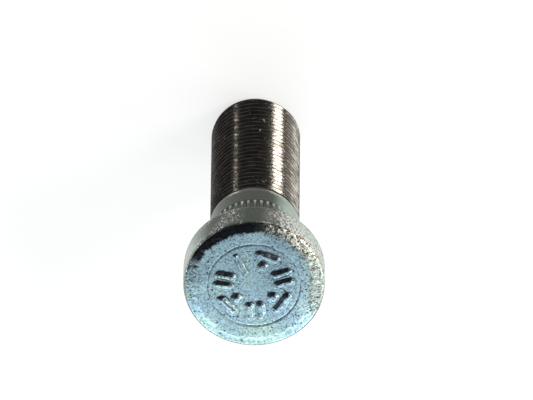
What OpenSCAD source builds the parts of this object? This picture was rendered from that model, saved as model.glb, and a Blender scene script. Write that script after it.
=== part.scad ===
// Press-in wheel stud: a forged round head, a serrated neck, a plain collar and a rolled thread.
// The stud stands on its thread end, with its axis on Z and its head at the top.

/* [Head] */
// Outer diameter of the head
head_d = 28.2; // [24:0.1:34]
// Thickness of the head, from its seat to its flat face
head_h = 7.2; // [5:0.1:10]
// Width of the shallow bevel round the face
face_bevel_w = 2.2; // [1:0.1:3]
// Fall of that bevel along the axis
face_bevel_h = 0.35; // [0.3:0.05:1]
// Corner radius between the bevel and the side wall
head_corner_r = 0.8; // [0.4:0.05:1.2]
// Chamfer on the back edge of the head
head_back_chamfer = 0.35; // [0.1:0.05:0.8]

/* [Face relief] */
// Height of the raised marks on the face
mark_h = 0.5; // [0.2:0.05:0.8]
// Width of a raised bar
mark_w = 1.3; // [0.5:0.05:1.6]
// Radius at which a cross bar lies
cross_bar_r = 6.9; // [6.5:0.1:7.6]
// Length of a cross bar between its end centres
cross_bar_len = 3.4; // [1.5:0.1:3.6]
// Radius at which a pip lies inside its cross bar
pip_r = 4.6; // [4.4:0.1:5.2]
// Diameter of a pip
pip_d = 1.8; // [0.8:0.1:2]
// Radius at the middle of a pair of radial bars
pair_r = 5.9; // [5.6:0.1:6.2]
// Length of a radial bar between its end centres
pair_len = 2.4; // [1.5:0.1:2.8]
// Distance between the two bars of a pair
pair_gap = 2.2; // [1.6:0.1:2.4]
// Width of the thin radial ridge
ridge_w = 0.45; // [0.3:0.05:0.8]
// Diameter of the fine ring groove round the marks
ring_d = 18.4; // [17.6:0.1:20]
// Width of the ring groove, which is also twice its depth
ring_w = 0.34; // [0.2:0.02:0.6]

/* [Serrated neck] */
// Diameter over the tips of the teeth
neck_tip_d = 18.7; // [18.4:0.1:20]
// Length of the neck, from the collar to the seat of the head
neck_len = 11.3; // [8:0.1:14]
// Number of teeth
tooth_count = 44; // [30:1:60]
// Depth of a tooth
tooth_depth = 0.5; // [0.25:0.05:0.7]
// Length over which the teeth rise from the collar
tooth_run_in = 1.2; // [0.5:0.1:2]
// Radius of the fillet under the head
seat_fillet_r = 0.6; // [0.3:0.05:1]

/* [Collar] */
// Diameter of the plain collar
collar_d = 18.2; // [18:0.05:19]
// Length of the collar
collar_len = 5; // [4:0.1:8]
// Chamfer on the collar's edge beside the thread
collar_chamfer = 0.4; // [0.2:0.05:0.8]

/* [Thread] */
// Major diameter of the thread
thread_d = 17.86; // [16:0.01:17.95]
// Pitch of the thread
thread_pitch = 1.5; // [1.25:0.25:2]
// Length of the threaded shank, from its end to the collar
thread_len = 38.5; // [30:0.5:45]
// Height of the chamfer on the thread's end
end_chamfer = 1.05; // [0.9:0.05:1.6]

/* [Hidden] */

// Levels along the axis
collar_z = thread_len;
neck_z = collar_z + collar_len;
head_z = neck_z + neck_len;
face_z = head_z + head_h;

// Flat-bottomed 60 degree thread form
thread_r = thread_d / 2;
crest_w = thread_pitch / 8;
thread_depth = 0.6134 * thread_pitch;
flank_w = thread_depth * tan(30);
root_r = thread_r - thread_depth;

// The groove is swept in straight steps, so its mouth stays outside the crests at mid-step
steps_per_turn = 24;
mouth_reach = thread_r * (1 / cos(180 / steps_per_turn) - 1) + 0.05;
start_turns = 1.5;
runout_turns = 0.75;
runout_rise = thread_depth + mouth_reach + 0.1;
groove_turns = (thread_len - thread_pitch / 2) / thread_pitch + start_turns;
groove_steps = floor(groove_turns * steps_per_turn);

// Neck teeth
tip_r = neck_tip_d / 2;
tooth_root_r = tip_r - tooth_depth;
tooth_start_r = tooth_root_r + tooth_depth / 5;
tooth_step = 360 / tooth_count;
tip_share = 0.16;
root_share = 0.2;
overlap = 0.05;

// Places of the marks round the face: one ridge, then six marks
mark_places = 7;
ridge_angle = 299;
ridge_start_r = 3;
ridge_end_r = 7.7;
smooth = 96;

// Points of an arc from angle a to angle b
function arc(centre, r, a, b, steps) =
    [for (i = [0:steps]) let (t = a + (b - a) * i / steps) centre + r * [cos(t), sin(t)]];

// Half outline of the turned blank, from the thread's end to the head's face
module blank_outline() {
    head_r = head_d / 2;
    bevel_angle = atan2(face_bevel_h, face_bevel_w);
    corner_drop = head_corner_r * tan((90 - bevel_angle) / 2);
    corner = [head_r - head_corner_r, face_z - face_bevel_h - corner_drop];
    polygon(concat(
        [
            [0, 0],
            [thread_r - end_chamfer, 0],
            [thread_r, end_chamfer],
            [thread_r, collar_z],
            [collar_d / 2 - collar_chamfer * tan(30), collar_z],
            [collar_d / 2, collar_z + collar_chamfer],
            [collar_d / 2, neck_z],
            [tooth_root_r - overlap, neck_z],
            [tooth_root_r - overlap, head_z],
            [head_r - head_back_chamfer, head_z],
            [head_r, head_z + head_back_chamfer],
        ],
        arc(corner, head_corner_r, 0, 90 - bevel_angle, 4),
        [
            [head_r - face_bevel_w, face_z],
            [0, face_z],
        ]
    ));
}

module blank() {
    color("lightslategray")
    rotate_extrude($fn = smooth)
    blank_outline();
}

// One cross-section of the thread groove: lower mouth, lower root, upper root, upper mouth
function groove_section() =
    let (
        mouth = (thread_pitch - crest_w) / 2 + mouth_reach * tan(30),
        root = (thread_pitch - crest_w) / 2 - flank_w
    )
    [
        [thread_r + mouth_reach, -mouth],
        [root_r, -root],
        [root_r, root],
        [thread_r + mouth_reach, mouth],
    ];

// How far the section has climbed out of the shank at step i, over the run-out by the collar
function runout(i) =
    runout_rise * max(0, 1 - (groove_steps - i) / (runout_turns * steps_per_turn));

function groove_points() = [
    for (i = [0:groove_steps])
    let (
        turn = i / steps_per_turn,
        a = 360 * turn,
        z = thread_pitch * (turn - start_turns)
    )
    for (p = groove_section())
    let (r = p[0] + runout(i))
    [r * cos(a), r * sin(a), z + p[1]]
];

function groove_faces() = concat(
    [[0, 1, 2, 3]],
    [
        for (i = [0:groove_steps - 1], j = [0:3])
        let (a = 4 * i + j, b = 4 * i + (j + 1) % 4)
        [a + 4, b + 4, b, a]
    ],
    [[for (j = [3:-1:0]) 4 * groove_steps + j]]
);

// Helical groove of the right-hand thread, which runs out just before the collar
module thread_groove() {
    color("dimgray")
    polyhedron(points = groove_points(), faces = groove_faces(), convexity = 10);
}

// Outline across the teeth: each is a flat-topped ridge with a narrow root between it and the next
module tooth_outline() {
    polygon([
        for (i = [0:tooth_count - 1])
        for (p = [[-0.5 + root_share / 2, tooth_root_r], [-tip_share / 2, tip_r + overlap],
                  [tip_share / 2, tip_r + overlap], [0.5 - root_share / 2, tooth_root_r]])
        let (a = (i + p[0]) * tooth_step)
        p[1] * [cos(a), sin(a)]
    ]);
}

// Straight teeth along the neck, sloped where they start at the collar
module neck_teeth() {
    color("slategray")
    intersection() {
        translate([0, 0, neck_z - overlap])
        linear_extrude(neck_len + 2 * overlap)
        tooth_outline();
        rotate_extrude($fn = smooth)
        polygon([
            [0, neck_z - overlap],
            [tooth_start_r, neck_z - overlap],
            [tooth_start_r, neck_z],
            [tip_r, neck_z + tooth_run_in],
            [tip_r, head_z + overlap],
            [0, head_z + overlap],
        ]);
    }
}

// Fillet between the neck and the seat of the head
module seat_fillet() {
    inner_r = tooth_root_r - overlap / 2;
    color("slategray")
    rotate_extrude($fn = smooth)
    difference() {
        translate([inner_r - overlap, head_z - seat_fillet_r])
        square([overlap + seat_fillet_r, seat_fillet_r + overlap]);
        translate([inner_r + seat_fillet_r, head_z - seat_fillet_r])
        circle(seat_fillet_r);
    }
}

// Round-ended bar along Y, centred on the origin
module bar(length, width) {
    square([width, length], center = true);
    for (side = [-1, 1])
        translate([0, side * length / 2])
        circle(d = width);
}

// Two bars side by side, both along the radius
module bar_pair() {
    for (side = [-1, 1])
        translate([pair_r, side * pair_gap / 2])
        rotate(90)
        bar(pair_len, mark_w);
}

// One bar across the radius with a pip inside it
module bar_and_pip() {
    translate([cross_bar_r, 0])
    bar(cross_bar_len, mark_w);
    translate([pip_r, 0])
    circle(d = pip_d);
}

// Raised marks in a ring on the face, with one thin radial ridge among them
module face_marks() {
    color("lightsteelblue")
    translate([0, 0, face_z - overlap])
    linear_extrude(mark_h + overlap) {
        rotate(ridge_angle)
        translate([ridge_start_r, -ridge_w / 2])
        square([ridge_end_r - ridge_start_r, ridge_w]);
        for (i = [1:mark_places - 1])
            rotate(ridge_angle + i * 360 / mark_places)
            if (i % 2 == 0) bar_and_pip();
            else bar_pair();
    }
}

// Fine V groove that rings the marks
module ring_groove() {
    color("lightsteelblue")
    rotate_extrude($fn = smooth)
    polygon([
        [ring_d / 2 - ring_w, face_z + ring_w / 2],
        [ring_d / 2, face_z - ring_w / 2],
        [ring_d / 2 + ring_w, face_z + ring_w / 2],
    ]);
}

module wheel_stud() {
    difference() {
        union() {
            blank();
            neck_teeth();
            seat_fillet();
            face_marks();
        }
        thread_groove();
        ring_groove();
    }
}

wheel_stud();
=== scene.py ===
import math

import bmesh
import bpy
from bpy.props import FloatProperty, FloatVectorProperty, IntProperty, PointerProperty
from mathutils import Matrix, Vector, noise


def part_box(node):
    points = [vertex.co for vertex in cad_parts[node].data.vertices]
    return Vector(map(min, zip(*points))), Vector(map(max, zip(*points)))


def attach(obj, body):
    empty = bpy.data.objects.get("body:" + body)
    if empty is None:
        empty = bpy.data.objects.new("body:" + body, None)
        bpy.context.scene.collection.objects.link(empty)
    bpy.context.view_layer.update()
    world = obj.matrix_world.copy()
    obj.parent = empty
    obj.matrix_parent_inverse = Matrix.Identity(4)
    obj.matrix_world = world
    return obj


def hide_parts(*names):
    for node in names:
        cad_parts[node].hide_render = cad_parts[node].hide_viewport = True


bl_info = {
    "name": "Wheel stud",
    "version": (1, 0, 0),
    "blender": (4, 5, 0),
    "location": "View3D > Sidebar > Wheel Stud",
    "description": "Builds a zinc-plated press-in wheel stud and the white stage it stands on",
    "category": "Object",
}

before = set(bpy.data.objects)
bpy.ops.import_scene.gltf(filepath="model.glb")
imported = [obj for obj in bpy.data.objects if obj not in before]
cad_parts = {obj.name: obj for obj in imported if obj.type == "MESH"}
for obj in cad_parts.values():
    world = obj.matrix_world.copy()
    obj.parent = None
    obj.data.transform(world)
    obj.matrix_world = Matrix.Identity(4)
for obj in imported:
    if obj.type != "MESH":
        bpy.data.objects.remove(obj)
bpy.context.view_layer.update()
NODE = "wheel_stud"
MM = 0.001

# The object's own box gives the head's width and the length with the marks on the face
CAD_LOW, CAD_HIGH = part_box(NODE)
HEAD_RADIUS = (CAD_HIGH.x - CAD_LOW.x) / 2
FULL_LENGTH = CAD_HIGH.z - CAD_LOW.z


class StudSizes(bpy.types.PropertyGroup):
    """Sizes of the stud, which stands on its thread's end with its axis on Z"""

    thread_radius: FloatProperty(
        name="Thread Radius", description="Radius over the crests of the thread",
        default=8.93 * MM, unit="LENGTH", precision=5)
    thread_pitch: FloatProperty(
        name="Thread Pitch", description="Distance between two crests",
        default=1.5 * MM, unit="LENGTH", precision=5)
    thread_length: FloatProperty(
        name="Threaded Length", description="Length from the end of the thread to the collar",
        default=38.5 * MM, unit="LENGTH", precision=5)
    end_chamfer: FloatProperty(
        name="End Chamfer", description="Height of the chamfer on the end of the thread",
        default=1.05 * MM, unit="LENGTH", precision=5)
    collar_radius: FloatProperty(
        name="Collar Radius", description="Radius of the plain collar",
        default=9.1 * MM, unit="LENGTH", precision=5)
    collar_length: FloatProperty(
        name="Collar Length", description="Length of the plain collar",
        default=5.0 * MM, unit="LENGTH", precision=5)
    collar_chamfer: FloatProperty(
        name="Collar Chamfer", description="Height of the chamfer on the collar beside the thread",
        default=0.4 * MM, unit="LENGTH", precision=5)
    neck_tip_radius: FloatProperty(
        name="Neck Tip Radius", description="Radius over the tips of the neck's teeth",
        default=9.35 * MM, unit="LENGTH", precision=5)
    neck_length: FloatProperty(
        name="Neck Length", description="Length of the serrated neck",
        default=11.3 * MM, unit="LENGTH", precision=5)
    tooth_depth: FloatProperty(
        name="Tooth Depth", description="Depth of the neck's teeth",
        default=0.5 * MM, unit="LENGTH", precision=5)
    tooth_run_in: FloatProperty(
        name="Tooth Run-in", description="Length over which the teeth rise from the collar",
        default=1.2 * MM, unit="LENGTH", precision=5)
    tooth_count: IntProperty(
        name="Teeth", description="Number of teeth round the neck", default=44, min=12, max=90)
    seat_fillet: FloatProperty(
        name="Seat Fillet", description="Radius of the fillet under the head",
        default=0.6 * MM, unit="LENGTH", precision=5)
    mark_height: FloatProperty(
        name="Mark Height", description="Height of the raised marks on the face",
        default=0.5 * MM, unit="LENGTH", precision=5)
    mark_width: FloatProperty(
        name="Mark Width", description="Width of a raised bar on the face",
        default=1.3 * MM, unit="LENGTH", precision=5)


class StudFinish(bpy.types.PropertyGroup):
    """Colours of the plating"""

    face_colour: FloatVectorProperty(
        name="Face", description="Dull blue-tinted zinc on the face of the head",
        subtype="COLOR", size=3, min=0, max=1, default=(0.32, 0.45, 0.52))
    wall_colour: FloatVectorProperty(
        name="Wall", description="Darker zinc on the side of the head, the neck and the collar",
        subtype="COLOR", size=3, min=0, max=1, default=(0.046, 0.054, 0.043))
    thread_colour: FloatVectorProperty(
        name="Thread", description="Dark, bright-rolled plating on the thread",
        subtype="COLOR", size=3, min=0, max=1, default=(0.118, 0.108, 0.10))
    pit_colour: FloatVectorProperty(
        name="Pits", description="Dark bottoms of the pits in the forged skin",
        subtype="COLOR", size=3, min=0, max=1, default=(0.02, 0.05, 0.06))
    # Painted shade: this colour darkens the feet of the marks, their slopes that face -Y, the shaded
    # edge of the rim and the ring groove
    painted_shade_colour: FloatVectorProperty(
        name="Painted Shade", description="Dark film on the shaded bevel and on one side of the marks",
        subtype="COLOR", size=3, min=0, max=1, default=(0.022, 0.016, 0.026))


def smooth_step(low, high, value):
    """0 below low, 1 above high and a smooth rise between them."""
    share = min(1.0, max(0.0, (value - low) / (high - low)))
    return share * share * (3 - 2 * share)


def wander(point, wave, seed):
    """Smooth signed noise at a point, with about one wave in each wave length."""
    return noise.noise(Vector(point) / wave + Vector((seed, seed * 1.7, -seed)))


def widen(v, share):
    """Scales a vertex's distance from the axis."""
    v.co.x *= share
    v.co.y *= share


def spun(bm, outline, steps, rise=0.0):
    """Spins an outline of (radius, height) points once round Z, climbing by rise on the way."""
    verts = [bm.verts.new((r, 0, z)) for r, z in outline]
    edges = [bm.edges.new(pair) for pair in zip(verts, verts[1:])]
    bmesh.ops.spin(
        bm, geom=verts + edges, cent=(0, 0, 0), axis=(0, 0, 1), dvec=(0, 0, rise / steps),
        angle=math.tau, steps=steps, use_merge=rise == 0.0)


MERGE_DISTANCE = 0.002 * MM
CUT_DISTANCE = 1e-7
TAN_30 = math.tan(math.radians(30))

# Form of the thread, in shares of its pitch
THREAD_DEPTH = 0.6134
HALF_CREST = 1 / 16
CREST_WEAR = 0.03
# Share of the crest's width that stays on a worn crest
WORN_CREST = 0.6

THREAD_STEPS = 100
SPARE_TURNS = 2
# Run-out beside the collar: where the groove ends past it and how long it climbs, in turns,
# and how far it climbs, in depths of the thread
GROOVE_PAST = 0.1
RUNOUT_TURNS = 0.5
RUNOUT_RISE = 1.2
# Worn crests: the band they lie in, the least wear, the deepest dent, and its wave and seed
CREST_BAND = 0.2 * MM
LEAST_WEAR = 0.015 * MM
DENT_DEPTH = 0.03 * MM
DENTS = 1.1 * MM, 3.0


def thread_outline(pitch, radius):
    """(radius, height) points of one pitch of the thread, from mid-root to mid-root."""
    depth = THREAD_DEPTH * pitch
    crest = HALF_CREST * pitch
    worn = CREST_WEAR * pitch
    half = [(0.0, crest * WORN_CREST), (worn, crest + worn * TAN_30), (depth, crest + depth * TAN_30)]
    lower = [(radius - d, pitch / 2 - z) for d, z in reversed(half)]
    upper = [(radius - d, pitch / 2 + z) for d, z in half]
    root = radius - depth
    return [(root, 0.0)] + lower + upper + [(root, pitch)]


def thread_mesh(sizes):
    """The threaded shank, open at the collar and closed at its chamfered end."""
    pitch = sizes.thread_pitch
    radius = sizes.thread_radius
    length = sizes.thread_length
    bm = bmesh.new()
    spun(bm, thread_outline(pitch, radius), THREAD_STEPS, pitch)
    one_turn = bm.verts[:] + bm.edges[:] + bm.faces[:]
    for turn in range(1, math.ceil(length / pitch) + SPARE_TURNS + 1):
        copied = bmesh.ops.duplicate(bm, geom=one_turn)["geom"]
        copied_verts = [item for item in copied if isinstance(item, bmesh.types.BMVert)]
        bmesh.ops.translate(bm, verts=copied_verts, vec=(0, 0, turn * pitch))
    bmesh.ops.translate(bm, verts=bm.verts, vec=(0, 0, -SPARE_TURNS * pitch))
    bmesh.ops.remove_doubles(bm, verts=bm.verts, dist=MERGE_DISTANCE)
    groove_end = length / pitch + GROOVE_PAST
    climb = THREAD_DEPTH * pitch * RUNOUT_RISE
    end_radius = radius - sizes.end_chamfer
    for v in bm.verts:
        r = math.hypot(v.co.x, v.co.y)
        lead = math.atan2(v.co.y, v.co.x) / math.tau
        turn = lead + round(v.co.z / pitch - lead)
        climbed = r + climb * max(0.0, 1 - (groove_end - turn) / RUNOUT_TURNS)
        worn = 0.0
        if r > radius - CREST_BAND:
            worn = DENT_DEPTH * max(0.0, wander(v.co, *DENTS)) + LEAST_WEAR
        widen(v, min(radius - worn, climbed, end_radius + v.co.z) / r)
    for height, up in ((0.0, -1), (length, 1)):
        bmesh.ops.bisect_plane(
            bm, geom=bm.verts[:] + bm.edges[:] + bm.faces[:], dist=CUT_DISTANCE,
            plane_co=(0, 0, height), plane_no=(0, 0, up), clear_outer=True)
    rim = [e for e in bm.edges if e.is_boundary and max(v.co.z for v in e.verts) < pitch / 4]
    bmesh.ops.holes_fill(bm, edges=rim, sides=0)
    return bm


HEAD_HEIGHT = 7.2 * MM
BEVEL_WIDTH = 2.2 * MM
BEVEL_FALL = 0.35 * MM
CORNER_RADIUS = 0.8 * MM
BACK_CHAMFER = 0.35 * MM
# Steps round the head and the neck, ten for each of 44 teeth
HEAD_STEPS = 440
# Height over which the outline falls from the collar to the roots of the teeth
ROOT_RUN_IN = 0.6 * MM


def levels(sizes):
    """Heights of the neck's start, the head's seat and the flat face."""
    neck = sizes.thread_length + sizes.collar_length
    seat = neck + sizes.neck_length
    return neck, seat, seat + HEAD_HEIGHT


def rows(start, lines):
    """Points along lines that follow each other, each given by its end and its longest step."""
    points = []
    for end, step in lines:
        count = max(1, math.ceil(math.dist(start, end) / step))
        points += [tuple(a + (b - a) * i / count for a, b in zip(start, end))
                   for i in range(1, count + 1)]
        start = points[-1]
    return points


def arc(centre, radius, start, end, count):
    """Points of an arc from angle start to end in degrees, without its first point."""
    angles = [math.radians(start + (end - start) * i / count) for i in range(1, count + 1)]
    return [(centre[0] + radius * math.cos(a), centre[1] + radius * math.sin(a)) for a in angles]


def head_outline(sizes):
    """(radius, height) points from the collar's chamfer to the centre of the face."""
    neck, seat, face = levels(sizes)
    root = sizes.neck_tip_radius - sizes.tooth_depth
    fillet = sizes.seat_fillet
    slope = math.degrees(math.atan2(BEVEL_FALL, BEVEL_WIDTH))
    drop = CORNER_RADIUS * math.tan(math.radians((90 - slope) / 2))
    corner = (HEAD_RADIUS - CORNER_RADIUS, face - BEVEL_FALL - drop)
    small_end = sizes.collar_radius - sizes.collar_chamfer * TAN_30
    points = [(small_end, sizes.thread_length)]
    points += arc((small_end, sizes.thread_length + sizes.collar_chamfer),
                  sizes.collar_radius - small_end, -60, 0, 4)
    points += rows(points[-1], (
        ((sizes.collar_radius, neck), 0.5 * MM),
        ((root, neck + ROOT_RUN_IN), 0.15 * MM),
        ((root, neck + sizes.tooth_run_in), 0.2 * MM),
        ((root, seat - fillet), 0.6 * MM),
    ))
    points += arc((root + fillet, seat - fillet), fillet, 180, 90, 5)
    points += rows(points[-1], (
        ((HEAD_RADIUS - BACK_CHAMFER, seat), 0.6 * MM),
        ((HEAD_RADIUS, seat + BACK_CHAMFER), 0.15 * MM),
        ((HEAD_RADIUS, corner[1]), 0.3 * MM),
    ))
    points += arc(corner, CORNER_RADIUS, 0, 90 - slope, 7)
    points += rows(points[-1], (
        ((HEAD_RADIUS - BEVEL_WIDTH, face), 0.2 * MM),
        ((0.0, face), 0.17 * MM),
    ))
    return points


# Raised marks in a ring of places on the face: one thin radial ridge, then six marks
RIDGE_ANGLE = 299
MARK_PLACES = 7
RIDGE_WIDTH = 0.45 * MM
RIDGE_START, RIDGE_END = 3.0 * MM, 7.7 * MM
CROSS_BAR_PLACE, CROSS_BAR_LENGTH = 6.9 * MM, 3.4 * MM
PIP_PLACE, PIP_RADIUS = 4.6 * MM, 0.9 * MM
PAIR_PLACE, PAIR_LENGTH, PAIR_GAP = 5.9 * MM, 2.4 * MM, 2.2 * MM
MARK_SLOPE = 0.42 * MM
# Wandering edges of the marks: how far in mm, and the wave and seed along X and Y
MARK_WANDER = 0.22
WANDER_X, WANDER_Y = (1.1 * MM, 15.0), (1.1 * MM, 19.0)
# Fine groove round the marks
RING_RADIUS = 9.2 * MM
RING_WIDTH = 0.17 * MM


def bar_distance(x, y, length, width):
    """Distance from a point to the edge of a round-ended bar that lies along y at the origin."""
    past = max(0.0, abs(y) - length / 2)
    return math.hypot(x, past) - width / 2


def mark_distance(x, y, sizes):
    """Distance from a point on the face to the edge of the nearest raised mark, below 0 on a mark."""
    width = sizes.mark_width
    nearest = math.inf
    for place in range(MARK_PLACES):
        a = math.radians(RIDGE_ANGLE + place * 360 / MARK_PLACES)
        out = x * math.cos(a) + y * math.sin(a)
        aside = y * math.cos(a) - x * math.sin(a)
        if place == 0:
            middle = (RIDGE_START + RIDGE_END) / 2
            length = RIDGE_END - RIDGE_START - RIDGE_WIDTH
            edge = bar_distance(aside, out - middle, length, RIDGE_WIDTH)
        elif place % 2:
            edge = bar_distance(abs(aside) - PAIR_GAP / 2, out - PAIR_PLACE, PAIR_LENGTH, width)
        else:
            edge = min(bar_distance(out - CROSS_BAR_PLACE, aside, CROSS_BAR_LENGTH, width),
                       math.hypot(out - PIP_PLACE, aside) - PIP_RADIUS)
        nearest = min(nearest, edge)
    return nearest


# Shares of the way from tooth to tooth: the flat tip, and both flanks together
TIP_SHARE = 0.16
FLANK_SHARE = 0.64
# Painted highlight on the starts of the teeth: its level and how that varies, with its wave and seed
TOOTH_HIGHLIGHT_LEVEL = 0.62
TOOTH_HIGHLIGHT_CHANGE = 0.7
TOOTH_HIGHLIGHT_WAVE = 1.6 * MM, 31.0


def tooth_share(angle, count):
    """0 at the root and 1 at the flat tip of the neck's teeth, by the angle round the axis."""
    place = abs((angle / math.tau * count + 0.5) % 1.0 - 0.5) * 2
    return 1 - min(1.0, max(0.0, (place - TIP_SHARE) / FLANK_SHARE))


def shape_neck_vert(v, r, neck, sizes, skin):
    """Raises the teeth at one vertex of the neck, and gives them a painted highlight where they start.
    """
    along = (v.co.z - neck) / sizes.tooth_run_in
    risen = min(1.0, along)
    tip = sizes.collar_radius + (sizes.neck_tip_radius - sizes.collar_radius) * risen
    root = sizes.neck_tip_radius - sizes.tooth_depth
    share = tooth_share(math.atan2(v.co.y, v.co.x), sizes.tooth_count)
    widen(v, max(r, root + (tip - root) * share) / r)
    # Painted highlight: a paler tone where the teeth start, varied at random
    worn = TOOTH_HIGHLIGHT_LEVEL + TOOTH_HIGHLIGHT_CHANGE * wander((v.co.x, v.co.y, 0.0), *TOOTH_HIGHLIGHT_WAVE)
    starts = 1 - smooth_step(0.3, 1.9, along)
    v[skin["plating"]] = worn * starts * smooth_step(0.35 + 0.3 * risen, 0.95, share)


# Sides that get painted shade, as directions in X and Y: of the marks, and of the head's rim
MARK_LEE = 0.25, -0.97
RIM_LEE = 0.42, -0.906
# Where the coarse skin starts on the way to -X, in shares of the radius: on the face and the side
COARSE_FACE = -0.08
COARSE_SIDE = 0.04
# The coarse skin at +X, against that at -X
COARSE_OTHER = 0.34


def lee_share(x, y, sizes):
    """1 on the slopes of the marks that face -Y, falling to 0 on those that face +Y."""
    step = 0.05 * MM
    turn_x = mark_distance(x + step, y, sizes) - mark_distance(x - step, y, sizes)
    turn_y = mark_distance(x, y + step, sizes) - mark_distance(x, y - step, sizes)
    facing = (MARK_LEE[0] * turn_x + MARK_LEE[1] * turn_y) / (math.hypot(turn_x, turn_y) + 1e-9)
    return smooth_step(0.0, 0.75, facing)


def lee_edge(x, y):
    """1 on the part of the head's rim that faces -Y and +X, with soft ends."""
    r = math.hypot(x, y)
    facing = (RIM_LEE[0] * x + RIM_LEE[1] * y) / r
    return smooth_step(0.62, 0.82, facing) * (1 - coarseness(x, y, COARSE_FACE))


def coarseness(x, y, start):
    """How coarse the forged skin is round the head: most at -X, some at +X, least at -Y and +Y."""
    r = math.hypot(x, y)
    main = smooth_step(start, start + 0.4, -x / r) * (1 - smooth_step(0.15, 0.6, y / r))
    other = smooth_step(0.86, 0.96, x / r) * (1 - smooth_step(0.2, 0.5, y / r)) * COARSE_OTHER
    return max(main, other)


# Vertex values that the head's material reads
SKIN_LAYERS = ("sheen", "plating", "coarse", "flecks", "painted_shade")
# Noise in the forged skin: wave and seed
ROUGH = 1.3 * MM, 7.0
FINE = 0.55 * MM, 11.0
FACETS = 0.37 * MM, 23.0
FLECK_PATCHES = 3.0 * MM, 37.0
# Depths of the forged skin in mm: its rough and fine waves, and the dents and facets of a coarse one
FACE_ROUGH, FACE_FINE, FACE_DENTS, FACE_FACETS = 0.028, 0.016, 0.16, 0.12
SIDE_ROUGH, SIDE_FINE, SIDE_DENTS, SIDE_FACETS = 0.03, 0.012, 0.18, 0.16
# Ragged inner line of the bevel: how far in mm, with the wave and seed of each part
RAGGED_PARTS = ((0.35, 2.2 * MM, 5.0), (0.5, 0.9 * MM, 9.0), (0.45, 0.4 * MM, 13.0))
# Share of the bevel's fall that is reached where the corner starts
BEVEL_REACHED = 0.64
# How far inside and outside that ragged line the coarse skin sets in
COARSE_INSIDE, COARSE_OUTSIDE = 1.9 * MM, 0.7 * MM
# Share of the plating that a coarse skin has lost
PLATING_LOST = 0.9
# How near to a level or to the side a vertex counts as lying on it
NEAR_LEVEL = 0.01 * MM
NEAR_SIDE = 0.02 * MM
NEAR_SEAT = 0.05 * MM


def skin_noise(point):
    """Rough, fine and facet noise from 0 to 1 at a point of the forged skin."""
    return [0.5 + 0.5 * wander(point, *kind) for kind in (ROUGH, FINE, FACETS)]


def shape_face_vert(v, r, face, sizes, skin):
    """Raises the marks, cuts the ring and bevels and roughens the skin at one vertex of the face."""
    rough, fine, facets = skin_noise(v.co)
    # The bevel starts on a ragged line, steeper at first, and meets the corner at its own level
    ragged = sum(wander(v.co, wave, seed) * reach for reach, wave, seed in RAGGED_PARTS)
    start = HEAD_RADIUS - BEVEL_WIDTH + ragged * MM
    way = min(1.0, max(0.0, (r - start) / (HEAD_RADIUS - CORNER_RADIUS - start)))
    reached = smooth_step(start - COARSE_INSIDE, start + COARSE_OUTSIDE, r)
    coarse = reached * coarseness(v.co.x, v.co.y, COARSE_FACE) if reached else 0.0
    sink = (FACE_ROUGH * rough + FACE_FINE * fine) * (1 - smooth_step(0, 0.4, way) * 0.7)
    sink += coarse * (FACE_DENTS * fine * rough + FACE_FACETS * facets)
    drop = BEVEL_FALL * (way * (1.6 - 0.6 * way)) * BEVEL_REACHED
    raised = slope = foot = 0.0
    if r < RING_RADIUS:
        edge = mark_distance(v.co.x + wander(v.co, *WANDER_X) * MARK_WANDER * MM,
                             v.co.y + wander(v.co, *WANDER_Y) * MARK_WANDER * MM, sizes)
        raised = sizes.mark_height * (1 - smooth_step(-MARK_SLOPE, MARK_SLOPE, edge))
        slope = 1 - smooth_step(MARK_SLOPE * 0.8, MARK_SLOPE * 1.4, abs(edge))
        # Painted shade at the feet of the marks and on their slopes that face -Y
        foot = (1 - smooth_step(0.1 * MM, 0.4 * MM, abs(edge - MARK_SLOPE))) * (0.1 + 0.45 * fine)
        if slope > 0:
            foot = max(foot, slope * lee_share(v.co.x, v.co.y, sizes))
    ring = 1 - smooth_step(0.0, RING_WIDTH * 1.3, abs(r - RING_RADIUS))
    v.co.z = face + raised * (1 - 0.15 * rough) - drop - sink * MM - ring * RING_WIDTH
    bevelled = smooth_step(0.0, 0.25, way)
    lee = bevelled * lee_edge(v.co.x, v.co.y) if way else 0.0
    v[skin["sheen"]] = max(slope * 0.6, bevelled)
    v[skin["plating"]] = (1 - 0.25 * smooth_step(0.0, 0.3, way)) * (1 - PLATING_LOST * coarse)
    v[skin["coarse"]] = v[skin["flecks"]] = coarse
    # Painted shade: the marks' feet and -Y slopes, the rim's shaded edge on the bevel, and the ring
    # groove with a random share
    v[skin["painted_shade"]] = max(foot, lee, ring * (0.35 + 0.65 * smooth_step(0.35, 0.6, rough)))


def shape_side_vert(v, r, top, skin):
    """Roughens the skin at one vertex of the head's side or of its rounded corner above top."""
    rough, fine, facets = skin_noise(v.co)
    coarse = coarseness(v.co.x, v.co.y, COARSE_SIDE if v.co.z < top else COARSE_FACE)
    sink = (SIDE_ROUGH * rough + SIDE_FINE * fine
            + coarse * (SIDE_DENTS * fine * rough + SIDE_FACETS * facets)) * MM
    # Painted glints: white flecks towards +X that fade towards +Y, in random patches
    specked = smooth_step(0.1, 0.3, v.co.x / r) * (1 - smooth_step(-0.2, 0.3, v.co.y / r))
    patches = smooth_step(-0.35, 0.1, wander(v.co, *FLECK_PATCHES))
    v[skin["sheen"]] = 1.0
    v[skin["coarse"]] = coarse
    v[skin["flecks"]] = max(coarse, 0.8 * specked * patches)
    if r > HEAD_RADIUS - NEAR_SIDE:
        widen(v, 1 - sink / r)
    elif v.co.z > top:
        turned = math.asin(min(1.0, (r - HEAD_RADIUS + CORNER_RADIUS) / CORNER_RADIUS))
        lee = lee_edge(v.co.x, v.co.y)
        # On the rounded corner the face tone reaches further on the rim's shaded edge, which gets
        # painted shade
        v[skin["plating"]] = (1 - PLATING_LOST * coarse) * max(
            0.75 * (1 - smooth_step(0.5, 0.95, turned)), lee * (1 - smooth_step(0.6, 0.8, turned)))
        v[skin["painted_shade"]] = lee
        v.co.z -= sink * 0.8


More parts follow.
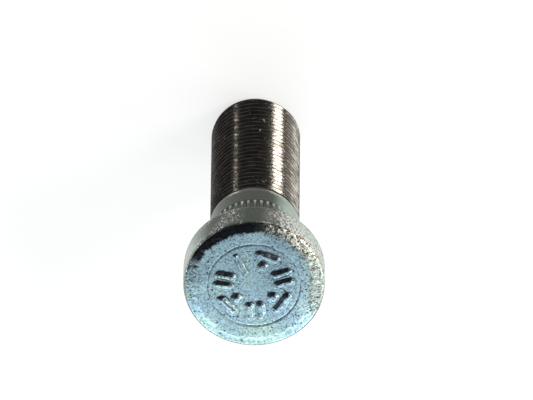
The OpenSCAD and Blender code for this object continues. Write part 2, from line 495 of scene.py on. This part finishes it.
def head_mesh(bm, sizes):
    """Adds the collar, neck and head to bm, open only at the collar's small end."""
    neck, seat, face = levels(sizes)
    top = face - BEVEL_FALL - CORNER_RADIUS
    skin = {name: bm.verts.layers.float.new(name) for name in SKIN_LAYERS}
    thread_verts = set(bm.verts)
    spun(bm, head_outline(sizes), HEAD_STEPS)
    fresh = [v for v in bm.verts if v not in thread_verts]
    bmesh.ops.remove_doubles(bm, verts=fresh, dist=MERGE_DISTANCE)
    for v in [v for v in bm.verts if v not in thread_verts]:
        r = math.hypot(v.co.x, v.co.y)
        if neck + NEAR_LEVEL < v.co.z < seat - NEAR_LEVEL:
            shape_neck_vert(v, r, neck, sizes, skin)
        elif v.co.z > face - NEAR_LEVEL or (v.co.z > top and r < HEAD_RADIUS - CORNER_RADIUS):
            shape_face_vert(v, r, face, sizes, skin)
        elif v.co.z > seat + NEAR_SEAT:
            shape_side_vert(v, r, top, skin)


SHARP_ANGLE = math.radians(20)
# Places of the three materials on the stud
THREAD_PLACE, COLLAR_PLACE, HEAD_PLACE = range(3)


def shade_faces(bm, sizes):
    """Gives the faces their materials and shades them smooth, with sharp edges on the thread."""
    seat = levels(sizes)[1]
    for e in bm.edges:
        on_thread = max(v.co.z for v in e.verts) < sizes.thread_length + NEAR_LEVEL
        e.smooth = not (on_thread and e.calc_face_angle(0) > SHARP_ANGLE)
    for f in bm.faces:
        height = f.calc_center_median().z
        f.smooth = True
        if height < sizes.thread_length:
            f.material_index = THREAD_PLACE
        elif height < seat + NEAR_SEAT:
            f.material_index = COLLAR_PLACE
        else:
            f.material_index = HEAD_PLACE


def link_piece(bm, name, materials):
    """Turns bm into an object at the origin, with the given materials."""
    mesh = bpy.data.meshes.new(name)
    bm.to_mesh(mesh)
    bm.free()
    for material in materials:
        mesh.materials.append(material)
    piece = bpy.data.objects.new(name, mesh)
    bpy.context.scene.collection.objects.link(piece)
    return piece


class Nodes:
    """Short ways to add and link nodes in one tree."""

    def __init__(self, tree):
        self.tree = tree

    def add(self, kind, **settings):
        """A new node with the given settings."""
        node = self.tree.nodes.new(kind)
        for key, value in settings.items():
            setattr(node, key, value)
        return node

    def feed(self, socket, value):
        """Links an output to the socket, or writes a plain value on it."""
        if isinstance(value, bpy.types.NodeSocket):
            self.tree.links.new(value, socket)
        elif isinstance(value, (tuple, list)) and socket.type == "RGBA" and len(value) == 3:
            socket.default_value = (*value, 1)
        else:
            socket.default_value = value

    def feed_all(self, sockets, values):
        """Feeds the sockets in their order."""
        for socket, value in zip(sockets, values):
            self.feed(socket, value)

    def maths(self, operation, *values):
        """The result of a sum on plain values."""
        node = self.add("ShaderNodeMath", operation=operation)
        self.feed_all(node.inputs, values)
        return node.outputs[0]

    def times(self, one, other):
        """The product of two values."""
        return self.maths("MULTIPLY", one, other)

    def vector(self, operation, *values):
        """The result of a sum on vectors."""
        node = self.add("ShaderNodeVectorMath", operation=operation)
        self.feed_all(node.inputs, values)
        return node.outputs["Value" if operation == "LENGTH" else "Vector"]

    def spread(self, value, low, high, to_low=0.0, to_high=1.0):
        """Maps low..high to to_low..to_high with eased ends."""
        node = self.add("ShaderNodeMapRange", interpolation_type="SMOOTHSTEP")
        for name, number in (("Value", value), ("From Min", low), ("From Max", high),
                             ("To Min", to_low), ("To Max", to_high)):
            self.feed(node.inputs[name], number)
        return node.outputs["Result"]

    def blend(self, share, one, other):
        """One colour at share 0 and the other at share 1."""
        node = self.add("ShaderNodeMix", data_type="RGBA")
        self.feed(node.inputs["Factor"], share)
        # Inputs 6 and 7 and output 2 are the ones for colours
        self.feed(node.inputs[6], one)
        self.feed(node.inputs[7], other)
        return node.outputs[2]

    def tint(self, colour, value):
        """The colour times a grey value."""
        node = self.add("ShaderNodeVectorMath", operation="SCALE")
        self.feed(node.inputs[0], colour)
        self.feed(node.inputs["Scale"], value)
        return node.outputs[0]

    def noise(self, place, wave, detail=2.0, roughness=0.5):
        """Noise from 0 to 1 with about one wave in each wave length."""
        node = self.add("ShaderNodeTexNoise")
        for name, value in (("Vector", place), ("Scale", 1 / wave),
                            ("Detail", detail), ("Roughness", roughness)):
            self.feed(node.inputs[name], value)
        return node.outputs[0]

    def layer(self, name):
        """A value of the mesh's own, stored on its vertices."""
        return self.add("ShaderNodeAttribute", attribute_name=name).outputs["Fac"]

    def split(self, place):
        """X, Y and Z of a place."""
        node = self.add("ShaderNodeSeparateXYZ")
        self.feed(node.inputs[0], place)
        return node.outputs

    def reach(self, place):
        """Distance of a place from the Z axis."""
        return self.vector("LENGTH", self.vector("MULTIPLY", place, (1.0, 1.0, 0.0)))


def new_group(name, outputs):
    """A node group that takes a place on the object and gives the named masks."""
    tree = bpy.data.node_groups.new(name, "ShaderNodeTree")
    tree.interface.new_socket("Place", in_out="INPUT", socket_type="NodeSocketVector")
    for output in outputs:
        tree.interface.new_socket(output, in_out="OUTPUT", socket_type="NodeSocketFloat")
    nodes = Nodes(tree)
    return nodes, nodes.add("NodeGroupInput").outputs["Place"], nodes.add("NodeGroupOutput").inputs


# Wave of the warp that bends the forged skin's patterns, and how far it bends them
WARP_WAVE = 0.5 * MM
WARP_REACH = 0.22 * MM
# Wave of each size of pits and where its pattern is taken, and the largest pit's share of a wave
PIT_SIZES = ((0.85 * MM, 0.0), (0.62 * MM, 0.0131), (0.45 * MM, 0.0271))
PIT_RADIUS = 0.30
# How much finer the smears on the thread are along its axis than across it
SMEAR_SQUEEZE = 2.4


def forged_skin_group():
    """Pits, grain, lumps, flecks and clouds of a forged and plated skin."""
    nodes, place, out = new_group("forged_skin", ("Pits", "Grain", "Lumps", "Flecks", "Clouds"))
    warp = nodes.add("ShaderNodeTexNoise")
    nodes.feed(warp.inputs["Vector"], place)
    nodes.feed(warp.inputs["Scale"], 1 / WARP_WAVE)
    bent = nodes.vector("MULTIPLY_ADD", warp.outputs["Color"], (WARP_REACH,) * 3, place)
    pits = 0.0
    for wave, offset in PIT_SIZES:
        cells = nodes.add("ShaderNodeTexVoronoi")
        nodes.feed(cells.inputs["Vector"], nodes.vector("ADD", bent, (offset,) * 3))
        nodes.feed(cells.inputs["Scale"], 1 / wave)
        chance = nodes.add("ShaderNodeSeparateColor")
        nodes.feed(chance.inputs[0], cells.outputs["Color"])
        size = nodes.spread(chance.outputs[0], 0.25, 1.0, 0.0, PIT_RADIUS)
        inside = nodes.maths("SUBTRACT", size, cells.outputs["Distance"])
        pits = nodes.maths("MAXIMUM", pits, nodes.spread(inside, -0.01, 0.07))
    nodes.feed(out["Pits"], pits)
    nodes.feed(out["Grain"], nodes.noise(bent, 0.42 * MM, 3.0, 0.6))
    lumps = nodes.noise(nodes.vector("ADD", bent, (0.0, 0.0, 0.0047)), 0.62 * MM, 3.0, 0.75)
    nodes.feed(out["Lumps"], lumps)
    flecks = nodes.noise(nodes.vector("ADD", place, (0.0057, 0.0031, 0.0)), 0.3 * MM, 2.0, 0.7)
    nodes.feed(out["Flecks"], nodes.spread(flecks, 0.54, 0.66))
    nodes.feed(out["Clouds"], nodes.noise(place, 5.0 * MM, 3.0, 0.5))
    return nodes.tree


def rolled_skin_group():
    """Smears, nicks and fine grain of a rolled and plated thread."""
    nodes, place, out = new_group("rolled_skin", ("Smears", "Nicks", "Grain"))
    drawn = nodes.vector("MULTIPLY", place, (1.0, 1.0, SMEAR_SQUEEZE))
    nodes.feed(out["Smears"], nodes.noise(drawn, 3.0 * MM, 4.0, 0.6))
    nicks = nodes.noise(nodes.vector("ADD", place, (0.0, 0.0093, 0.0)), 0.65 * MM, 3.0, 0.65)
    nodes.feed(out["Nicks"], nodes.spread(nicks, 0.60, 0.72))
    nodes.feed(out["Grain"], nodes.noise(place, 0.35 * MM, 2.0, 0.6))
    return nodes.tree


def metal(name, group):
    """A material with a metal shader, and the object's own place and skin masks to feed it."""
    material = bpy.data.materials.new(name)
    material.use_nodes = True
    nodes = Nodes(material.node_tree)
    inputs = material.node_tree.nodes["Principled BSDF"].inputs
    nodes.feed(inputs["Metallic"], 1.0)
    place = nodes.add("ShaderNodeTexCoord").outputs["Object"]
    masks = nodes.add("ShaderNodeGroup", node_tree=group)
    nodes.feed(masks.inputs[0], place)
    return material, nodes, inputs, place, masks.outputs


def bumped(nodes, inputs, height, depth):
    """Feeds the shader's normal with a bump of the given height pattern and depth."""
    bump = nodes.add("ShaderNodeBump")
    for name, value in (("Height", height), ("Distance", depth), ("Strength", 1.0)):
        nodes.feed(bump.inputs[name], value)
    nodes.feed(inputs["Normal"], bump.outputs[0])


# Further tones of the zinc, several of them painted light: on the face, on the head's side with its
# painted glints, and on the collar
GREEN_FACE = 0.335, 0.455, 0.44
# Painted light: paler face towards -X
PAINTED_LIT_FACE = 0.40, 0.50, 0.475
# Painted light: paler side towards +X
PAINTED_PALE_RIM = 0.31, 0.39, 0.35
# Painted glints on the coarse side: gold, white and mint, and white flecks
PAINTED_GOLD_GLINT = 1.0, 0.90, 0.72
PAINTED_WHITE_GLINT = 1.0, 1.0, 0.97
PAINTED_MINT_GLINT = 0.66, 0.77, 0.70
PAINTED_GLINT_FLECK = 0.94, 0.96, 0.90
# Painted light on the collar: paler towards -X, a painted highlight along its edge, and a painted
# highlight where the teeth start
PAINTED_LIT_COLLAR = 0.36, 0.455, 0.395
PAINTED_COLLAR_HIGHLIGHT = 0.66, 0.68, 0.60
PAINTED_TOOTH_HIGHLIGHT = 0.42, 0.48, 0.44
# Specular tint of the thread, which keeps its grazing edges from turning white
THREAD_EDGE = 0.6, 0.59, 0.57

# Depths below the face over which the mint wash of the painted glints on the head's side sets in
MINT_FROM, MINT_TO = 1.2 * MM, 4.5 * MM
# Heights above the thread over which the painted highlight on the collar's edge sets in
HIGHLIGHT_FROM, HIGHLIGHT_TO = 1.5 * MM, 0.3 * MM
# The painted highlight's two brighter places along X: where each starts, is brightest and ends
HIGHLIGHT_PLACES = ((-1.8 * MM, -4.6 * MM, -7.6 * MM), (2.0 * MM, 3.8 * MM, 5.8 * MM))
# Depths below the crest radius over which the thread darkens to the level of its crests
CREST_FROM, CREST_TO = 0.075 * MM, 0.05 * MM
CREST_LEVEL = 0.34


def face_tone(nodes, finish, skin, own, at, reach):
    """Blue zinc on the face with dark pits, greener and brighter towards +Y and paler towards -X as
    painted light, and with painted shade.
    """
    # Painted light: greener and brighter towards +Y, paler and brighter towards -X. The level also
    # falls near the rim and at the +Y edge, and clouds and grain vary it at random.
    green = nodes.maths("ADD", skin["Clouds"], nodes.spread(at["Y"], 3 * MM, 12 * MM, 0.0, 0.27))
    tone = nodes.blend(nodes.spread(green, 0.45, 0.85), tuple(finish.face_colour), GREEN_FACE)
    tone = nodes.blend(nodes.spread(at["X"], -8.5 * MM, -13 * MM), tone, PAINTED_LIT_FACE)
    level = nodes.spread(at["Y"], -6 * MM, 14 * MM, 0.88, 1.42)
    for change in (
        nodes.spread(at["X"], -4 * MM, -13 * MM, 1.0, 1.22),
        nodes.spread(reach, 11.6 * MM, 12.8 * MM, 1.0, 0.78),
        nodes.spread(at["Y"], 12.0 * MM, 13.6 * MM, 1.0, 0.82),
        nodes.spread(skin["Clouds"], 0.36, 0.64, 0.92, 1.08),
        nodes.spread(skin["Grain"], 0.3, 0.7, 0.6, 1.24),
    ):
        level = nodes.times(level, change)
    open_skin = nodes.spread(reach, 1.9 * MM, 3.0 * MM, 0.1, 0.85)
    pits = nodes.times(skin["Pits"], open_skin)
    pitted = nodes.blend(pits, nodes.tint(tone, level), tuple(finish.pit_colour))
    # Painted shade on the marks' feet and -Y slopes, the rim's shaded edge and the ring groove, varied
    # a little by grain
    shade_share = nodes.times(own["painted_shade"], nodes.spread(skin["Grain"], 0.3, 0.7, 0.93, 0.80))
    return nodes.blend(shade_share, pitted, tuple(finish.painted_shade_colour))


def side_tone(nodes, finish, skin, own, at, reach, face):
    """Dark zinc on the head's side, paler towards +X as painted light, with painted glints: coarse
    gold, white and mint specks, and fine white flecks.
    """
    plain = nodes.tint(tuple(finish.wall_colour), nodes.spread(skin["Grain"], 0.3, 0.7, 0.7, 1.25))
    # Painted light: paler towards +X
    plain = nodes.blend(nodes.spread(at["X"], 8.5 * MM, 13.5 * MM, 0.0, 0.85), plain, PAINTED_PALE_RIM)
    # Lumps above this level get painted glints, and those below it keep the dark zinc between them
    dark_share = nodes.maths("ADD", nodes.spread(at["X"], -1 * MM, -9.5 * MM, 0.56, 0.46),
                             nodes.spread(reach, 12.2 * MM, 14.0 * MM, 0.025, 0.012))
    lump = nodes.maths("SUBTRACT", skin["Lumps"], dark_share)
    washed = nodes.times(nodes.spread(at["Z"], face - MINT_FROM, face - MINT_TO),
                         nodes.spread(at["X"], -4 * MM, -12 * MM, 0.25, 1.0))
    least = nodes.maths("MAXIMUM", nodes.spread(at["Y"], -8 * MM, -2 * MM, 0.04, 0.5),
                        nodes.times(washed, 0.5))
    painted_highlight = nodes.times(own["coarse"], nodes.spread(lump, -0.02, 0.03, least, 1.0))
    gold = nodes.blend(nodes.spread(skin["Grain"], 0.44, 0.56), PAINTED_GOLD_GLINT, PAINTED_WHITE_GLINT)
    mint = nodes.maths("MAXIMUM", washed, nodes.spread(at["Y"], -8 * MM, -1 * MM, 0.0, 0.8))
    # Painted light: the glints are brighter towards -X and dimmer towards +Y
    level = nodes.times(nodes.spread(at["X"], -2 * MM, -11 * MM, 0.62, 0.86),
                        nodes.spread(at["Y"], -9 * MM, 1 * MM, 1.0, 0.74))
    glint_tone = nodes.tint(nodes.blend(mint, gold, PAINTED_MINT_GLINT), level)
    # Painted glints: fine white flecks
    flecks = nodes.times(skin["Flecks"], own["flecks"])
    return nodes.blend(flecks, nodes.blend(painted_highlight, plain, glint_tone), PAINTED_GLINT_FLECK)


def head_zinc(finish, sizes, group):
    """Zinc on the head: dull and pitted on the face, smoother and darker on the bevel and the side,
    with painted light, painted shade and painted glints.
    """
    material, nodes, inputs, place, skin = metal("forged_zinc", group)
    own = {name: nodes.layer(name) for name in SKIN_LAYERS}
    at, reach = nodes.split(place), nodes.reach(place)
    face = face_tone(nodes, finish, skin, own, at, reach)
    side = side_tone(nodes, finish, skin, own, at, reach, levels(sizes)[2])
    # On a coarse skin the two tones meet in speckles
    unrest = nodes.spread(own["coarse"], 0.0, 0.3, 0.0, 3.0)
    lumpy = nodes.maths("SUBTRACT", skin["Lumps"], 0.5)
    plated = nodes.spread(nodes.maths("MULTIPLY_ADD", lumpy, unrest, own["plating"]), 0.28, 0.62)
    nodes.feed(inputs["Base Color"], nodes.blend(plated, side, face))
    smooth = nodes.spread(own["sheen"], 0.0, 1.0, 0.46, 0.20)
    nodes.feed(inputs["Roughness"], nodes.maths("ADD", smooth, nodes.times(own["coarse"], 0.1)))
    depth = nodes.maths("MAXIMUM", nodes.maths("SUBTRACT", 1.5, nodes.times(own["sheen"], 1.35)),
                        nodes.times(own["coarse"], 4.5))
    height = nodes.maths("SUBTRACT", nodes.times(skin["Grain"], 0.6), skin["Pits"])
    bumped(nodes, inputs, nodes.times(height, depth), 0.05 * MM)
    return material


def collar_zinc(finish, sizes, group):
    """Darker zinc on the collar and the neck, with painted light: paler at -X, and painted highlights
    along the edge beside the thread and where the teeth start.
    """
    material, nodes, inputs, place, skin = metal("collar_zinc", group)
    at = nodes.split(place)
    grain = nodes.spread(skin["Grain"], 0.3, 0.7, 0.85, 1.15)
    # Painted light: paler, mint-tinted zinc towards -X
    mint = nodes.times(nodes.spread(at["X"], -3.2 * MM, -6.8 * MM),
                       nodes.spread(skin["Clouds"], 0.3, 0.6, 0.65, 0.95))
    tone = nodes.blend(mint, nodes.tint(tuple(finish.wall_colour), grain), PAINTED_LIT_COLLAR)
    # Painted highlight along the edge beside the thread, stronger at two places on the side that faces
    # -Y
    end = sizes.thread_length
    painted_highlight = nodes.times(nodes.spread(at["Z"], end + HIGHLIGHT_FROM, end + HIGHLIGHT_TO),
                         nodes.spread(skin["Lumps"], 0.42, 0.60, 0.15, 1.0))
    places = nodes.maths("MAXIMUM", *(
        nodes.times(nodes.spread(at["X"], start, most), nodes.spread(at["X"], stop, most))
        for start, most, stop in HIGHLIGHT_PLACES))
    places = nodes.times(places, nodes.spread(at["Y"], 0.0, -4 * MM))
    places = nodes.maths("ADD", places, 0.12)
    tone = nodes.blend(nodes.times(painted_highlight, places), tone, PAINTED_COLLAR_HIGHLIGHT)
    # Painted highlight where the teeth start, by the plating layer
    nodes.feed(inputs["Base Color"], nodes.blend(nodes.layer("plating"), tone, PAINTED_TOOTH_HIGHLIGHT))
    nodes.feed(inputs["Roughness"], nodes.spread(skin["Grain"], 0.3, 0.7, 0.22, 0.30))
    bumped(nodes, inputs, skin["Grain"], 0.008 * MM)
    return material


def thread_zinc(finish, sizes, group):
    """Dark, shiny zinc on the rolled thread, darker on its crests, with smears and a few nicks."""
    material, nodes, inputs, place, skin = metal("rolled_zinc", group)
    radius = sizes.thread_radius
    crest = nodes.spread(nodes.reach(place), radius - CREST_FROM, radius - CREST_TO, 1.0, CREST_LEVEL)
    level = nodes.times(nodes.spread(skin["Smears"], 0.34, 0.66, 0.58, 1.35), crest)
    nodes.feed(inputs["Base Color"], nodes.tint(tuple(finish.thread_colour), level))
    nodes.feed(inputs["Roughness"], nodes.spread(skin["Smears"], 0.35, 0.65, 0.18, 0.10))
    nodes.feed(inputs["Specular Tint"], THREAD_EDGE)
    height = nodes.maths("SUBTRACT", nodes.times(skin["Grain"], 0.5), skin["Nicks"])
    bumped(nodes, inputs, height, 0.02 * MM)
    return material


class STUD_OT_body(bpy.types.Operator):
    """Builds the stud: thread, collar, serrated neck and forged head in one closed mesh"""

    bl_idname = "stud.body"
    bl_label = "Stud"
    bl_options = {"REGISTER", "UNDO"}

    def execute(self, context):
        sizes = context.scene.stud_sizes
        finish = context.scene.stud_finish
        bm = thread_mesh(sizes)
        head_mesh(bm, sizes)
        bmesh.ops.bridge_loops(bm, edges=[e for e in bm.edges if e.is_boundary])
        bmesh.ops.recalc_face_normals(bm, faces=bm.faces)
        shade_faces(bm, sizes)
        open_edges = [e for e in bm.edges if not e.is_manifold]
        if open_edges:
            raise RuntimeError(f"the stud's mesh has {len(open_edges)} open edges")
        forged = forged_skin_group()
        piece = link_piece(bm, "stud", [
            thread_zinc(finish, sizes, rolled_skin_group()),
            collar_zinc(finish, sizes, forged),
            head_zinc(finish, sizes, forged),
        ])
        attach(piece, "root")
        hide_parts(NODE)
        return {"FINISHED"}


# Where the photograph shows the stud: pixels in its 533 x 400 frame, and angles in degrees
PHOTO_WIDTH, PHOTO_HEIGHT = 533, 400
FACE_PIXEL = (254.0, 285.5)
PIXELS_PER_MM = 5.05
AXIS_TO_VIEW = 29.2
AXIS_LEAN = 0.6
# Distances in m, and the sensor's width in mm
CAMERA_DISTANCE = 3.0
CAMERA_RANGE = 0.1, 10
SENSOR_WIDTH = 36


def camera_frame():
    """The camera's right, up and back directions, turned so that the head is lowest in the picture."""
    tilt = math.radians(90 - AXIS_TO_VIEW)
    lean = math.radians(AXIS_LEAN)
    back = Vector((0, -math.cos(tilt), math.sin(tilt)))
    right = Vector((-1, 0, 0))
    up = back.cross(right)
    return (right * math.cos(lean) + up * math.sin(lean),
            up * math.cos(lean) - right * math.sin(lean), back)


def add_camera(face_height):
    """A camera that shows the middle of the face at its pixel of the photograph."""
    right, up, back = camera_frame()
    across = (PHOTO_WIDTH / 2 - FACE_PIXEL[0]) / PIXELS_PER_MM * MM
    above = (FACE_PIXEL[1] - PHOTO_HEIGHT / 2) / PIXELS_PER_MM * MM
    target = Vector((0, 0, face_height)) + right * across + up * above
    data = bpy.data.cameras.new("camera")
    data.sensor_width = SENSOR_WIDTH
    data.lens = data.sensor_width * CAMERA_DISTANCE / (PHOTO_WIDTH / PIXELS_PER_MM * MM)
    data.clip_start, data.clip_end = CAMERA_RANGE
    camera = bpy.data.objects.new("camera", data)
    turned = Matrix((right, up, back)).transposed().to_4x4()
    camera.matrix_world = Matrix.Translation(target + back * CAMERA_DISTANCE) @ turned
    bpy.context.scene.collection.objects.link(camera)
    bpy.context.scene.camera = camera


LAMP_DISTANCE = 0.8
# Name of each lamp, its direction from the stud, its size in m, its colour and its radiance
LAMPS = (
    ("back_softbox", (0, 0.79, 0.613), (1.1, 0.73), (0.85, 0.96, 1.0), 1.88),
    ("window", (-0.532, -0.310, 0.788), (0.155, 0.22), (1.0, 0.955, 0.85), 18.0),
    ("side_card", (-0.79, 0.22, 0.57), (0.3, 0.36), (0.95, 1.0, 0.92), 4.6),
    ("fill_card", (-0.71, -0.06, 0.70), (0.15, 0.3), (1.0, 0.98, 0.90), 1.6),
    ("strip", (0.405, -0.406, 0.82), (0.018, 0.16), (1.0, 0.97, 0.92), 6.0),
)


def add_lamp(name, direction, size, colour, radiance):
    """An area lamp that faces the stud, as bright as radiance says."""
    data = bpy.data.lights.new(name, "AREA")
    data.shape = "RECTANGLE"
    data.size, data.size_y = size
    data.color = colour
    data.energy = radiance * math.pi * size[0] * size[1]
    lamp = bpy.data.objects.new(name, data)
    way = Vector(direction).normalized()
    target = Vector((0, 0, FULL_LENGTH / 2))
    turned = way.to_track_quat("Z", "Y").to_matrix().to_4x4()
    lamp.matrix_world = Matrix.Translation(target + way * LAMP_DISTANCE) @ turned
    bpy.context.scene.collection.objects.link(lamp)


FLOOR_REACH = 2.5
FLOOR_GREY = 0.32
FLOOR_ROUGHNESS = 0.9
FLOOR_LIFT = 0.70
# Levels of the world: as light on dull surfaces, and as metal sees it overhead and at the horizon
ROOM_LEVEL = 0.45
OVERHEAD_LEVEL = 0.10
HORIZON_RISE = 0.86
WHITE = 1, 1, 1


def seen_rays(nodes):
    """1 for the rays that show the background: camera, glossy and transmission rays."""
    path = nodes.add("ShaderNodeLightPath").outputs
    seen = nodes.maths("MAXIMUM", path["Is Camera Ray"], path["Is Glossy Ray"])
    return nodes.maths("MAXIMUM", seen, path["Is Transmission Ray"])


def white_floor():
    """A grey floor, lifted to white where it is seen, which keeps the stud's shadow."""
    material = bpy.data.materials.new("white_floor")
    material.use_nodes = True
    nodes = Nodes(material.node_tree)
    inputs = material.node_tree.nodes["Principled BSDF"].inputs
    for name, value in (
        ("Base Color", (FLOOR_GREY,) * 3), ("Roughness", FLOOR_ROUGHNESS), ("Specular IOR Level", 0.0),
        ("Emission Color", WHITE), ("Emission Strength", nodes.times(seen_rays(nodes), FLOOR_LIFT)),
    ):
        nodes.feed(inputs[name], value)
    return material


def studio_world():
    """White to the camera. Metal sees a white horizon that dims overhead and behind the camera."""
    world = bpy.data.worlds.new("studio")
    bpy.context.scene.world = world
    world.use_nodes = True
    nodes = Nodes(world.node_tree)
    nodes.tree.nodes.clear()
    way = nodes.split(nodes.add("ShaderNodeTexCoord").outputs["Generated"])
    low = nodes.spread(way["Z"], 0.45, 0.68, 1.0, 0.0)
    far = nodes.spread(way["Y"], -0.75, -0.25, 0.1, 1.0)
    mirrored = nodes.maths("MULTIPLY_ADD", nodes.times(low, far), HORIZON_RISE, OVERHEAD_LEVEL)
    path = nodes.add("ShaderNodeLightPath").outputs
    level = nodes.add("ShaderNodeMix", data_type="FLOAT")
    for name, value in (("Factor", path["Is Glossy Ray"]), ("A", ROOM_LEVEL), ("B", mirrored)):
        nodes.feed(level.inputs[name], value)
    room, shown = nodes.add("ShaderNodeBackground"), nodes.add("ShaderNodeBackground")
    nodes.feed_all(room.inputs, (WHITE, level.outputs["Result"]))
    nodes.feed_all(shown.inputs, (WHITE, 1.0))
    mix = nodes.add("ShaderNodeMixShader")
    nodes.feed_all(mix.inputs, (path["Is Camera Ray"], room.outputs[0], shown.outputs[0]))
    nodes.feed(nodes.add("ShaderNodeOutputWorld").inputs["Surface"], mix.outputs[0])


class STUD_OT_stage(bpy.types.Operator):
    """Adds the white floor, the studio light and the camera at the photograph's angle"""

    bl_idname = "stud.stage"
    bl_label = "Stage"
    bl_options = {"REGISTER", "UNDO"}

    def execute(self, context):
        bm = bmesh.new()
        bmesh.ops.create_grid(bm, x_segments=1, y_segments=1, size=FLOOR_REACH)
        floor = link_piece(bm, "floor", [white_floor()])
        studio_world()
        for lamp in LAMPS:
            add_lamp(*lamp)
        add_camera(levels(context.scene.stud_sizes)[2])
        context.scene.view_settings.view_transform = "Standard"
        return {"FINISHED"}


class STUD_PT_panel(bpy.types.Panel):
    """Lists the stud's sizes and colours and the steps that build it"""

    bl_idname = "STUD_PT_panel"
    bl_label = "Wheel Stud"
    bl_space_type = "VIEW_3D"
    bl_region_type = "UI"
    bl_category = "Wheel Stud"

    def draw(self, context):
        for settings in (context.scene.stud_sizes, context.scene.stud_finish):
            column = self.layout.column()
            for name in type(settings).__annotations__:
                column.prop(settings, name)
        for operator in OPERATORS:
            self.layout.operator(operator.bl_idname)


OPERATORS = (STUD_OT_body, STUD_OT_stage)
CLASSES = (StudSizes, StudFinish, *OPERATORS, STUD_PT_panel)


def register():
    for cls in CLASSES:
        bpy.utils.register_class(cls)
    bpy.types.Scene.stud_sizes = PointerProperty(type=StudSizes)
    bpy.types.Scene.stud_finish = PointerProperty(type=StudFinish)


def unregister():
    del bpy.types.Scene.stud_finish
    del bpy.types.Scene.stud_sizes
    for cls in reversed(CLASSES):
        bpy.utils.unregister_class(cls)


def main():
    register()
    bpy.ops.stud.body()
    bpy.ops.stud.stage()
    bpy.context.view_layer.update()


if __name__ == "__main__":
    main()
